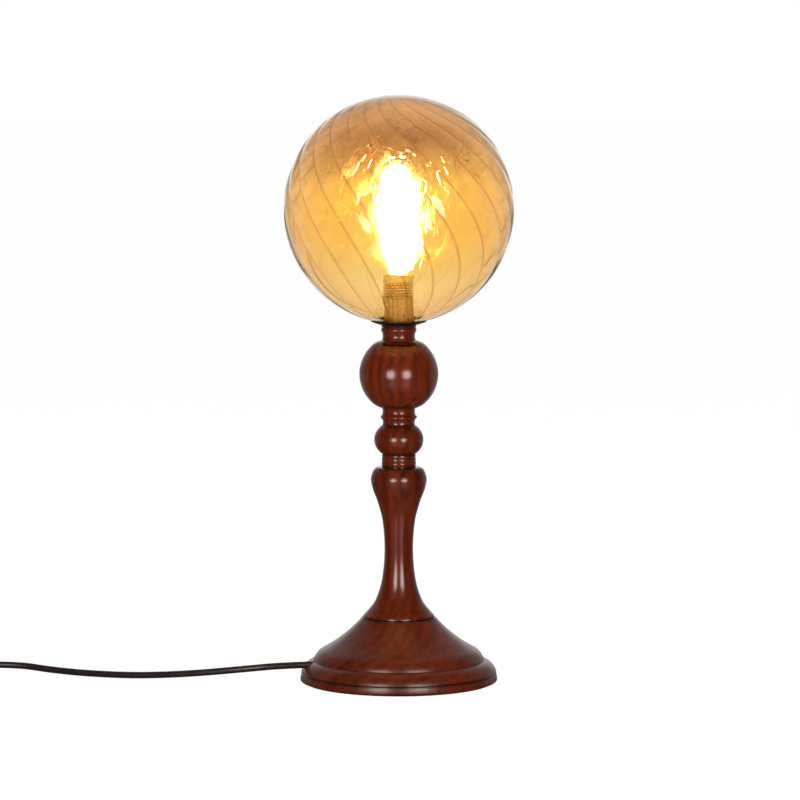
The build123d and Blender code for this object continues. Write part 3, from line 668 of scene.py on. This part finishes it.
def softened(piece, width):
    """Takes the sharpness off a piece's edges."""
    bevel = piece.modifiers.new("Eased edges", "BEVEL")
    bevel.width = width
    bevel.segments = 2
    bevel.limit_method = "ANGLE"
    bevel.angle_limit = math.radians(40)
    bevel.use_clamp_overlap = True
    bevel.harden_normals = True


def smooth(mesh, angle):
    """Smooth shading that stops at edges sharper than the angle, in degrees."""
    work = bmesh.new()
    work.from_mesh(mesh)
    for face in work.faces:
        face.smooth = True
    for edge in work.edges:
        if len(edge.link_faces) == 2:
            edge.smooth = edge.calc_face_angle(0) < math.radians(angle)
    work.to_mesh(mesh)
    work.free()


def bow(start, end, out, steps):
    """Points of an arc after its start. Its middle stands out to the right of the way."""
    if not out:
        return [end]
    run = math.dist(start, end)
    along = ((end[0] - start[0]) / run, (end[1] - start[1]) / run)
    half = 2 * math.atan2(abs(out), run / 2)
    radius = run / 2 / math.sin(half)
    points = []
    for step in range(1, steps + 1):
        turn = half * (2 * step / steps - 1)
        ahead = run / 2 + radius * math.sin(turn)
        aside = math.copysign(radius * (math.cos(turn) - math.cos(half)), out)
        x = start[0] + ahead * along[0] + aside * along[1]
        y = start[1] + ahead * along[1] - aside * along[0]
        points.append((x, y))
    return points


def flowing(points, start_way, end_way, steps=8):
    """A smooth line through the points, which leaves and arrives in the given directions."""
    ways = [Vector(start_way).normalized()]
    for before, after in zip(points, points[2:]):
        ways.append((Vector(after) - Vector(before)).normalized())
    ways.append(Vector(end_way).normalized())
    line = []
    for (here, there), (out, into) in zip(zip(points, points[1:]), zip(ways, ways[1:])):
        run = math.dist(here, there)
        for step in range(1, steps + 1):
            t = step / steps
            spot = (
                Vector(here) * (2 * t**3 - 3 * t**2 + 1)
                + out * run * (t**3 - 2 * t**2 + t)
                + Vector(there) * (3 * t**2 - 2 * t**3)
                + into * run * (t**3 - t**2)
            )
            line.append((spot.x, spot.y))
    return line


def section(start, *steps, fine=12):
    """A half section in millimetres. A step is a corner, a corner with its bow, or some points."""
    line = [start]
    for step in steps:
        if isinstance(step, list):
            line += step
        elif isinstance(step[0], tuple):
            line += bow(line[-1], step[0], step[1], fine)
        else:
            line.append(step)
    return line


def tenon(foot, way):
    """The three corners of a tenon. The way is 1 for up and -1 for down."""
    end = foot + TENON_LENGTH * way
    return (TENON, foot), (TENON, end), (BORE, end)


def socket(mouth, way):
    """The three corners of a socket. The way is 1 for up and -1 for down."""
    end = mouth + SOCKET_DEPTH * way
    return (SOCKET, mouth), (SOCKET, end), (BORE, end)


def turned(name, line, turns=144, relief=None):
    """A mesh turned about the lamp's axis from a half section in millimetres.

    The relief gives how deep a place is cut, from its radius, its height and its angle.
    """
    work = bmesh.new()
    rings = []
    for radius, height in line:
        if radius < 0.001:
            rings.append([work.verts.new((0, 0, height * MM))])
            continue
        ring = []
        for turn in range(turns):
            angle = 2 * math.pi * turn / turns
            far = (radius - (relief(radius, height, angle) if relief else 0)) * MM
            spot = (far * math.cos(angle), far * math.sin(angle), height * MM)
            ring.append(work.verts.new(spot))
        rings.append(ring)
    return skinned(work, name, rings)


def skinned(work, name, rings, angle=35):
    """A closed, smooth mesh over rings of points. A ring of one point is a pole."""
    pairs = list(zip(rings, rings[1:]))
    if len(rings[0]) > 1 and len(rings[-1]) > 1:
        pairs.append((rings[-1], rings[0]))
    for low, high in pairs:
        turns = max(len(low), len(high))
        if turns == 1:
            continue
        for turn in range(turns):
            after = (turn + 1) % turns
            if len(low) == 1:
                work.faces.new((low[0], high[after], high[turn]))
            elif len(high) == 1:
                work.faces.new((low[turn], low[after], high[0]))
            else:
                work.faces.new((low[turn], low[after], high[after], high[turn]))
    bmesh.ops.recalc_face_normals(work, faces=work.faces)
    mesh = bpy.data.meshes.new(name)
    work.to_mesh(mesh)
    work.free()
    smooth(mesh, angle)
    return mesh


def drilled(mesh, start, end, radius):
    """The mesh with a round hole from start to end."""
    hole = bpy.data.meshes.new("hole")
    work = bmesh.new()
    way = end - start
    bmesh.ops.create_cone(
        work, cap_ends=True, segments=48, radius1=radius, radius2=radius, depth=way.length
    )
    work.transform(way.to_track_quat("Z", "Y").to_matrix().to_4x4())
    bmesh.ops.translate(work, verts=work.verts, vec=(start + end) / 2)
    work.to_mesh(hole)
    work.free()
    blank = stood("blank", mesh)
    drill = stood("drill", hole)
    cut = blank.modifiers.new("Hole", "BOOLEAN")
    cut.operation = "DIFFERENCE"
    cut.object = drill
    cut.solver = "EXACT"
    bpy.context.view_layer.update()
    graph = bpy.context.evaluated_depsgraph_get()
    result = bpy.data.meshes.new_from_object(blank.evaluated_get(graph))
    for each in (blank, drill):
        bpy.data.objects.remove(each)
    smooth(result, 35)
    return result


# Stage and camera


class LAMP_OT_stage(Operator):
    """Sets up the floor, the softboxes, the white surround and the camera"""

    bl_idname = "lamp.stage"
    bl_label = "Stage"

    def execute(self, context):
        context.scene.view_settings.view_transform = "Standard"
        light = settings().light
        self.camera(context.scene)
        self.floor(light.floor)
        self.surround(context.scene)
        self.softbox("Left softbox", -23, light.softbox)
        self.softbox("Right softbox", 23, light.softbox)
        self.overhead()
        return {"FINISHED"}

    def camera(self, scene):
        lens = bpy.data.cameras.new("Camera")
        lens.sensor_width = SENSOR
        lens.lens = CAMERA_LENS
        lens.clip_end = 60
        camera = stood("Camera", lens)
        camera.location = CAMERA_SPOT
        camera.rotation_euler = (math.radians(CAMERA_TILT), 0, 0)
        scene.camera = camera

    def floor(self, colour):
        """Pale paper that looks white, keeps the shadow and shows dark in the lacquer."""
        mesh = bpy.data.meshes.new("Floor")
        half = 14.0
        corners = [(-half, -half, 0), (half, -half, 0), (half, half, 0), (-half, half, 0)]
        mesh.from_pydata(corners, [], [(0, 1, 2, 3)])
        floor = stood("Floor", mesh)
        material, tree, shader = new_material("Studio floor")
        where = own_space(tree)
        darker = [0.97 * part for part in colour]
        paper = blended(tree, spotted(tree, where, 300, 2), colour, darker)
        feed(tree, shader, {"Base Color": paper, "Roughness": 0.9, "Specular IOR Level": 0.1})
        seen = place(tree, "ShaderNodeLightPath").outputs
        straight = sums(tree, "MAXIMUM", seen["Is Camera Ray"], seen["Is Transmission Ray"])
        glow = {"Color": (1, 1, 1, 1), "Strength": product(tree, straight, 0.90)}
        white = place(tree, "ShaderNodeEmission", glow)
        faint = place(
            tree, "ShaderNodeMixShader", {0: product(tree, straight, 0.75), 1: shader.outputs[0]}
        )
        gloss = {"Base Color": (0.08, 0.08, 0.08, 1), "Roughness": 0.34, "IOR": 1.6}
        sheen = place(tree, "ShaderNodeBsdfPrincipled", gloss)
        in_front = ramped(tree, axis(tree, where, 1), 0.3, 0.8, 1.0, 0.15)
        dark = product(tree, seen["Is Glossy Ray"], in_front)
        mirrored = place(
            tree, "ShaderNodeMixShader", {0: dark, 1: faint.outputs[0], 2: sheen.outputs[0]}
        )
        both = place(tree, "ShaderNodeAddShader", {0: mirrored.outputs[0], 1: white.outputs[0]})
        out = next(node for node in tree.nodes if node.type == "OUTPUT_MATERIAL")
        feed(tree, out, {"Surface": both.outputs[0]})
        mesh.materials.append(material)

    def surround(self, scene):
        """White to the eye and through glass, dim for matt light, and a pale backdrop in gloss."""
        world = bpy.data.worlds.new("Surround")
        scene.world = world
        world.use_nodes = True
        tree = world.node_tree
        seen = place(tree, "ShaderNodeLightPath").outputs
        glossy = seen["Is Glossy Ray"]
        direct = ramped(tree, seen["Glossy Depth"], 0.0, 1.0, 1.0, 0.88)
        through = product(tree, seen["Is Transmission Ray"], direct)
        clear = sums(tree, "MAXIMUM", seen["Is Camera Ray"], through)
        way = place(tree, "ShaderNodeTexCoord").outputs["Generated"]
        behind = axis(tree, way, 1)
        sides = ramped(tree, behind, 0.2, 0.7, 0.03, 0.36)
        backdrop = total(tree, sides, ramped(tree, behind, 0.85, 1.0, 0.0, 0.9))
        matt = product(tree, sums(tree, "SUBTRACT", 1.0, glossy), 0.42)
        reflected = total(tree, product(tree, glossy, backdrop), matt)
        strength = sums(tree, "MAXIMUM", clear, reflected)
        feed(tree, tree.nodes["Background"], {"Color": (1, 1, 1, 1), "Strength": strength})

    def softbox(self, name, azimuth, power):
        """A round softbox a metre away, so many degrees to the right of the front."""
        data = bpy.data.lights.new(name, "AREA")
        data.shape = "ELLIPSE"
        data.size = 0.40
        data.size_y = 0.40
        data.color = (1.0, 0.87, 0.80)
        data.energy = power
        box = stood(name, data)
        angle = math.radians(azimuth)
        box.location = (math.sin(angle), -math.cos(angle), 0.30)
        aim = Vector((0, 0, 0.28)) - box.location
        box.rotation_euler = aim.to_track_quat("-Z", "Y").to_euler()
        box.visible_camera = False
        box.visible_transmission = False

    def overhead(self):
        data = bpy.data.lights.new("Overhead", "AREA")
        data.shape = "DISK"
        data.size = 1.6
        data.energy = 8
        box = stood("Overhead", data)
        box.location = (0, 0.2, 2.6)
        box.visible_glossy = False


# Pieces of the lamp


class LAMP_OT_cords(Operator):
    """Lays the mains cord from the base to the switch and on to the plug"""

    bl_idname = "lamp.cords"
    bl_label = "Cords"

    def execute(self, context):
        first = self.laid("mains_cord_to_switch", TO_SWITCH)
        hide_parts("cord_to_switch")
        second = self.laid("mains_cord_to_plug", [*TO_COIL, *self.coil(), *TO_PLUG])
        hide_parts("cord_switch_to_coil", "cord_coil", "cord_coil_to_plug")
        return {"FINISHED"}

    def coil(self):
        """Half turns inward on the floor, a climb, and half turns outward on top of them."""
        middle = -501
        points_each = 7
        # A spline of this order cuts its corners, so they stand out a little
        wider = 1.018
        inward = [43, 39.7, 36.4, 33.1, 29.8, 26.5, 23.2]
        points = []
        angle = math.pi / 2
        height = 3.0
        y = 45.0
        for number, radius in enumerate(inward + inward[-2::-1]):
            side = -1 if number % 2 == 0 else 1
            centre = y + side * radius
            rise = 6.6 if radius == inward[-1] else 0.0
            for step in range(points_each):
                turn = angle + math.pi * step / points_each
                grown = radius * wider
                x = middle + grown * math.cos(turn)
                across = (grown if step else radius) * math.sin(turn)
                points.append((x, centre + across, height + rise * step / points_each))
            height += rise
            angle += math.pi
            y = centre + side * radius
        points.append((middle, y, height))
        return points

    def laid(self, name, points):
        line = bpy.data.curves.new(name, "CURVE")
        line.dimensions = "3D"
        line.bevel_depth = settings().cord.diameter / 2
        line.bevel_resolution = 6
        line.resolution_u = 8
        line.use_fill_caps = True
        spline = line.splines.new("NURBS")
        spline.points.add(len(points) - 1)
        for spot, (x, y, z) in zip(spline.points, points):
            spot.co = (x * MM, y * MM, z * MM, 1)
        spline.order_u = 3
        spline.use_endpoint_u = True
        cord = stood(name, line)
        line.materials.append(finish("Cord jacket"))
        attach(cord, "lamp")
        return cord


class LAMP_OT_woodwork(Operator):
    """Turns the base, the column and the two turnings with eased edges and lacquered grain"""

    bl_idname = "lamp.woodwork"
    bl_label = "Woodwork"

    def execute(self, context):
        self.base()
        self.column()
        self.small_ball()
        self.large_ball()
        return {"FINISHED"}

    def base(self):
        line = section(
            (RECESS, FOOT), (86.0, FOOT),
            ((87.6, 2.8), 1.6 * QUARTER), ((86.5, 8.1), 0.22),
            (86.1, 8.4), (86.8, 9.0),
            ((75.8, 19.6), 2.3), ((70.0, 28.6), 0.9),
            ((33.3, 57.2), -2.15), ((32.5, BASE_TOP), 0.8 * QUARTER),
            *socket(BASE_TOP, -1),
            (BORE, RECESS_TOP), (RECESS, RECESS_TOP),
        )
        angle = math.radians(CORD_WAY)
        way = Vector((math.cos(angle), math.sin(angle), 0))
        up = Vector((0, 0, CORD_HEIGHT))
        start, end = (way * far + up for far in HOLE)
        mesh = drilled(turned("wooden_base_fine", line, 192), start, end, HOLE_RADIUS)
        piece = put("base_wood", mesh, "Satin wood", "lamp", "wooden_base")
        softened(piece, 0.0004)

    def column(self):
        side = [
            (31.3, 60.1), (27.6, 64.1), (20.9, 73.1),
            (15.1, 91.1), (12.7, 118.1), (14.55, 144.7),
            (19.3, 162.5), (22.8, 171.5), (24.8, 181.5),
        ]
        line = section(
            *reversed(tenon(BASE_TOP, -1)),
            (30.6, BASE_TOP),
            ((31.6, 58.9), 0.9 * QUARTER),
            ((31.3, 60.1), 0.04),
            flowing(side, (-0.86, 1), (0, 1)),
            ((22.5, 189.4), 0.35),
            ((16.5, COLUMN_TOP), 1.0),
            *socket(COLUMN_TOP, -1),
        )
        self.stem_piece("column_wood", turned("column_fine", line), "vase_column")

    def small_ball(self):
        line = section(
            *reversed(tenon(COLUMN_TOP, -1)),
            (15.0, COLUMN_TOP), (15.0, 194.0),
            ((14.85, 197.4), 0.35), ((14.75, 200.7), 0.35), ((14.6, 203.9), 0.35),
            ((14.6, 229.4), 7.2),
            ((15.0, 235.2), -0.8), ((15.0, 238.4), 1.1), ((15.0, SMALL_TOP), -0.8),
            *tenon(SMALL_TOP, 1),
            fine=20,
        )
        self.stem_piece("small_ball_wood", turned("small_ball_fine", line), "small_ball_turning")

    def large_ball(self):
        ball = 34.9
        half_cut = 26.4
        cut = math.sqrt(ball**2 - half_cut**2)
        line = section(
            *reversed(socket(SMALL_TOP, 1)),
            (15.0, SMALL_TOP),
            ((cut, 248.7), 0.4), ((cut, 301.5), ball - cut), ((15.0, 305.0), 0.4),
            ((15.0, 312.3), -0.8), ((15.0, 316.1), 0.7), ((15.9, WOOD_TOP), -0.1),
            (BORE, WOOD_TOP),
            fine=40,
        )
        self.stem_piece("large_ball_wood", turned("large_ball_fine", line), "large_ball_turning")

    def stem_piece(self, name, mesh, node):
        softened(put(name, mesh, "Lacquered wood", "lamp", node), 0.0003)


class LAMP_OT_globe(Operator):
    """Blows the swirled glass globe with its lobes, even wall and open mouth"""

    bl_idname = "lamp.globe"
    bl_label = "Glass globe"

    def execute(self, context):
        crease = settings().globe.crease
        work = bmesh.new()
        rings = [self.pole(work, OUTER)]
        for polar in self.rounds(OUTER, 110):
            rings.append(self.ring(work, polar, OUTER, crease))
        for polar in reversed(self.rounds(INNER, 90)):
            rings.append(self.ring(work, polar, INNER, INNER_CREASE * crease))
        rings.append(self.pole(work, INNER))
        mesh = skinned(work, "globe_fine", rings, 60)
        piece = put("globe_glass", mesh, "Amber glass", "globe", "glass_globe")
        piece.visible_shadow = False
        return {"FINISHED"}

    def rounds(self, radius, count):
        """Degrees from the pole of each round of points, down to the mouth."""
        last = math.degrees(math.pi - math.asin(MOUTH / radius))
        return [last * step / count for step in range(1, count + 1)]

    def flattening(self, polar):
        """How far the crown has sunk, at so many degrees from its pole."""
        return SINK * max(0, 1 - (polar / SINK_REACH) ** 2)

    def pole(self, work, radius):
        return [work.verts.new((0, 0, GLOBE_CENTRE + radius - self.flattening(0)))]

    def ring(self, work, polar, radius, crease):
        """One round of points, drawn in at the creases and turned by the swirl."""
        glass = settings().globe
        columns = glass.lobes * LOBE_COLUMNS
        tilt = math.radians(polar)
        turn = glass.swirl * math.sin(math.radians(TWIST * polar))
        height = GLOBE_CENTRE + radius * math.cos(tilt) - self.flattening(polar)
        verts = []
        for column in range(columns):
            angle = turn + 2 * math.pi * column / columns
            across = column / LOBE_COLUMNS % 1 * 2 - 1
            far = (radius - crease * across * across) * math.sin(tilt)
            verts.append(work.verts.new((far * math.cos(angle), far * math.sin(angle), height)))
        return verts


class LAMP_OT_dish(Operator):
    """Spins the dark metal dish and lays its gasket"""

    bl_idname = "lamp.dish"
    bl_label = "Dish"

    def execute(self, context):
        saucer = section(
            (BORE, WOOD_TOP), (16.5, WOOD_TOP),
            ((24.0, 321.2), 0.3), (24.8, 321.7),
            ((24.6, 322.1), 0.1), (24.1, 321.9),
            ((23.0, 321.0), -0.1), (19.5, 320.2),
            (16.0, DISH_TOP), (BORE, DISH_TOP),
        )
        mesh = turned("dish_fine", saucer)
        put("dish_metal", mesh, "Black dish metal", "lamp", "shade_dish")
        ring = section(
            (19.8, 320.3), (22.8, 320.98), ((23.1, 321.2), 0.1), (23.1, 321.9), (19.8, 321.2)
        )
        mesh = turned("gasket_fine", ring)
        put("gasket_ring", mesh, "Dark silicone", "lamp", "shade_gasket")
        return {"FINISHED"}


class LAMP_OT_holder(Operator):
    """Turns the lampholder with its ribs and thread"""

    bl_idname = "lamp.holder"
    bl_label = "Lampholder"

    def execute(self, context):
        cup = section(
            (5.05, DISH_TOP),
            (12.7, DISH_TOP),
            ((13.3, 320.4), 0.6 * QUARTER),
            [(13.3, height) for height in (322.4, 323.2, 341.8, 342.6, 343.6)],
            ((12.9, CAP_TOP), 0.4 * QUARTER),
            (12.0, CAP_TOP), (12.0, 335.5), (10.4, 335.5), (10.4, 322.8), (5.05, 322.8),
        )
        mesh = turned("holder_cap_fine", cup, 240, self.fluted)
        put("holder_cup", mesh, "Gold metal", "lamp", "holder_cap")
        threads = [(13.6, 345.0 + 0.3 * step) for step in range(38)]
        ribs = [(13.6, height) for height in (356.5, 357.0, 363.4, 363.9)]
        sleeve = section(
            (12.2, CAP_TOP), (13.2, CAP_TOP), (13.2, 344.7),
            threads + ribs,
            ((12.9, SHELL_TOP), 0.25),
            (10.5, SHELL_TOP), (10.2, 365.0), (10.2, 363.8), (12.2, 363.8),
        )
        mesh = turned("holder_shell_fine", sleeve, 240, self.threaded)
        put("holder_sleeve", mesh, "Threaded gold", "lamp", "holder_shell")
        dress("Porcelain", "holder_insert")
        dress("Brass", "holder_side_contact", "holder_centre_contact")
        dress("Brass", "terminal_screw_1", "terminal_screw_2")
        dress("Zinc", "threaded_tube", "tube_washer", "tube_nut")
        return {"FINISHED"}

    def fluted(self, radius, height, angle):
        """Upright flutes between the cup's plain rims."""
        if radius < 13 or not 323 < height < 342:
            return 0
        return self.wave(FLUTE_DEPTH, FLUTES * angle)

    def threaded(self, radius, height, angle):
        """A screw thread below and upright ribs above."""
        if radius < 13.5:
            return 0
        if 345 < height < THREAD_END:
            return self.wave(THREAD_DEPTH, 2 * math.pi * height / THREAD_PITCH - angle)
        if 356.8 < height < 363.6:
            return self.wave(RIB_DEPTH, RIBS * angle)
        return 0

    def wave(self, depth, angle):
        """How deep a groove is at an angle of its wave, from crest to crest."""
        return depth / 2 * (1 - math.cos(angle))


class LAMP_OT_bulb(Operator):
    """Blows the candle bulb and lights its filaments"""

    bl_idname = "lamp.bulb"
    bl_label = "Bulb"

    def execute(self, context):
        dress("Nickel", "bulb_cap", "bulb_support")
        dress("Brass", "bulb_contact")
        dress("Black glass", "bulb_insulator")
        dress("Stem glass", "bulb_stem")
        dress("Filament", *(f"bulb_filament_{number}" for number in range(1, 5)))
        outside = self.skin(
            [(8.6, BULB_NECK), (15.0, 379.5), (17.5, 398)],
            [(17.1, 425.0), (13.2, 446.5), (5.0, 459.0)],
        )
        inside = self.skin(
            [(7.8, BULB_NECK), (14.2, 379.9), (16.7, 398)],
            [(16.3, 424.6), (12.5, 445.9), (4.6, 458.0)],
        )
        envelope = section(
            (8.6, BULB_NECK),
            outside,
            ((0, 461), 0.3),
            (0, 459.8),
            list(reversed(inside)),
            (7.8, BULB_NECK),
            fine=5,
        )
        mesh = turned("bulb_glass_fine", envelope, 96)
        piece = put("candle_glass", mesh, "Bulb glass", "bulb", "bulb_glass")
        piece.visible_shadow = False
        return {"FINISHED"}

    def skin(self, lower, upper):
        """One side of the glass, from its neck over the shoulder to near its tip."""
        neck = flowing(lower, (0.5, 1), (0, 1))
        return neck + flowing([lower[-1], *upper], (0, 1), (-1, 0.45))


class LAMP_OT_underside(Operator):
    """Dresses the pad, the clamp and the wires under the base"""

    bl_idname = "lamp.underside"
    bl_label = "Underside"

    def execute(self, context):
        dress("Base felt", "base_pad")
        dress("Zinc", "cord_clamp", "clamp_screw_1", "clamp_screw_2")
        dress("Brown wire", "live_wire")
        dress("Blue wire", "neutral_wire")
        dress("Cord jacket", "cord_inside")
        return {"FINISHED"}


class LAMP_OT_switch(Operator):
    """Dresses the switch in the cord"""

    bl_idname = "lamp.switch"
    bl_label = "Cord switch"

    def execute(self, context):
        dress("Black plastic", "switch_case_bottom", "switch_case_top", "switch_rocker")
        dress("Zinc", "switch_pivot", "switch_screw_1", "switch_screw_2")
        dress("Brass", "switch_contact_1", "switch_contact_2")
        dress("Soft black", "switch_sleeve_1", "switch_sleeve_2")
        return {"FINISHED"}


class LAMP_OT_plug(Operator):
    """Dresses the plug on the cord's end"""

    bl_idname = "lamp.plug"
    bl_label = "Plug"

    def execute(self, context):
        dress("Black plastic", "plug_body", "plug_pin_sleeve_1", "plug_pin_sleeve_2")
        dress("Soft black", "plug_boot")
        dress("Nickel", "plug_pin_1", "plug_pin_2")
        return {"FINISHED"}


STEPS = (
    LAMP_OT_stage, LAMP_OT_cords, LAMP_OT_woodwork, LAMP_OT_globe, LAMP_OT_dish,
    LAMP_OT_holder, LAMP_OT_bulb, LAMP_OT_underside, LAMP_OT_switch, LAMP_OT_plug,
)


class LAMP_PT_panel(Panel):
    """Lists the lamp's settings and the steps that dress it"""

    bl_idname = "LAMP_PT_panel"
    bl_label = "Table lamp"
    bl_space_type = "VIEW_3D"
    bl_region_type = "UI"
    bl_category = "Lamp"

    def draw(self, context):
        for group in ("wood", "globe", "light", "cord"):
            box = self.layout.box()
            values = getattr(context.scene.lamp, group)
            box.label(text=group.capitalize())
            for name in values.__annotations__:
                box.prop(values, name)
        column = self.layout.column(align=True)
        for step in STEPS:
            column.operator(step.bl_idname)


SETTINGS = (WoodSettings, GlobeSettings, LightSettings, CordSettings, LampSettings)
CLASSES = (*SETTINGS, *STEPS, LAMP_PT_panel)


def register():
    for each in CLASSES:
        bpy.utils.register_class(each)
    bpy.types.Scene.lamp = PointerProperty(type=LampSettings)


def unregister():
    del bpy.types.Scene.lamp
    for each in reversed(CLASSES):
        bpy.utils.unregister_class(each)


def main():
    register()
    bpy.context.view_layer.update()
    bpy.ops.lamp.stage()
    bpy.ops.lamp.cords()
    bpy.ops.lamp.woodwork()
    bpy.ops.lamp.globe()
    bpy.ops.lamp.dish()
    bpy.ops.lamp.holder()
    bpy.ops.lamp.bulb()
    bpy.ops.lamp.underside()
    bpy.ops.lamp.switch()
    bpy.ops.lamp.plug()


if __name__ == "__main__":
    main()
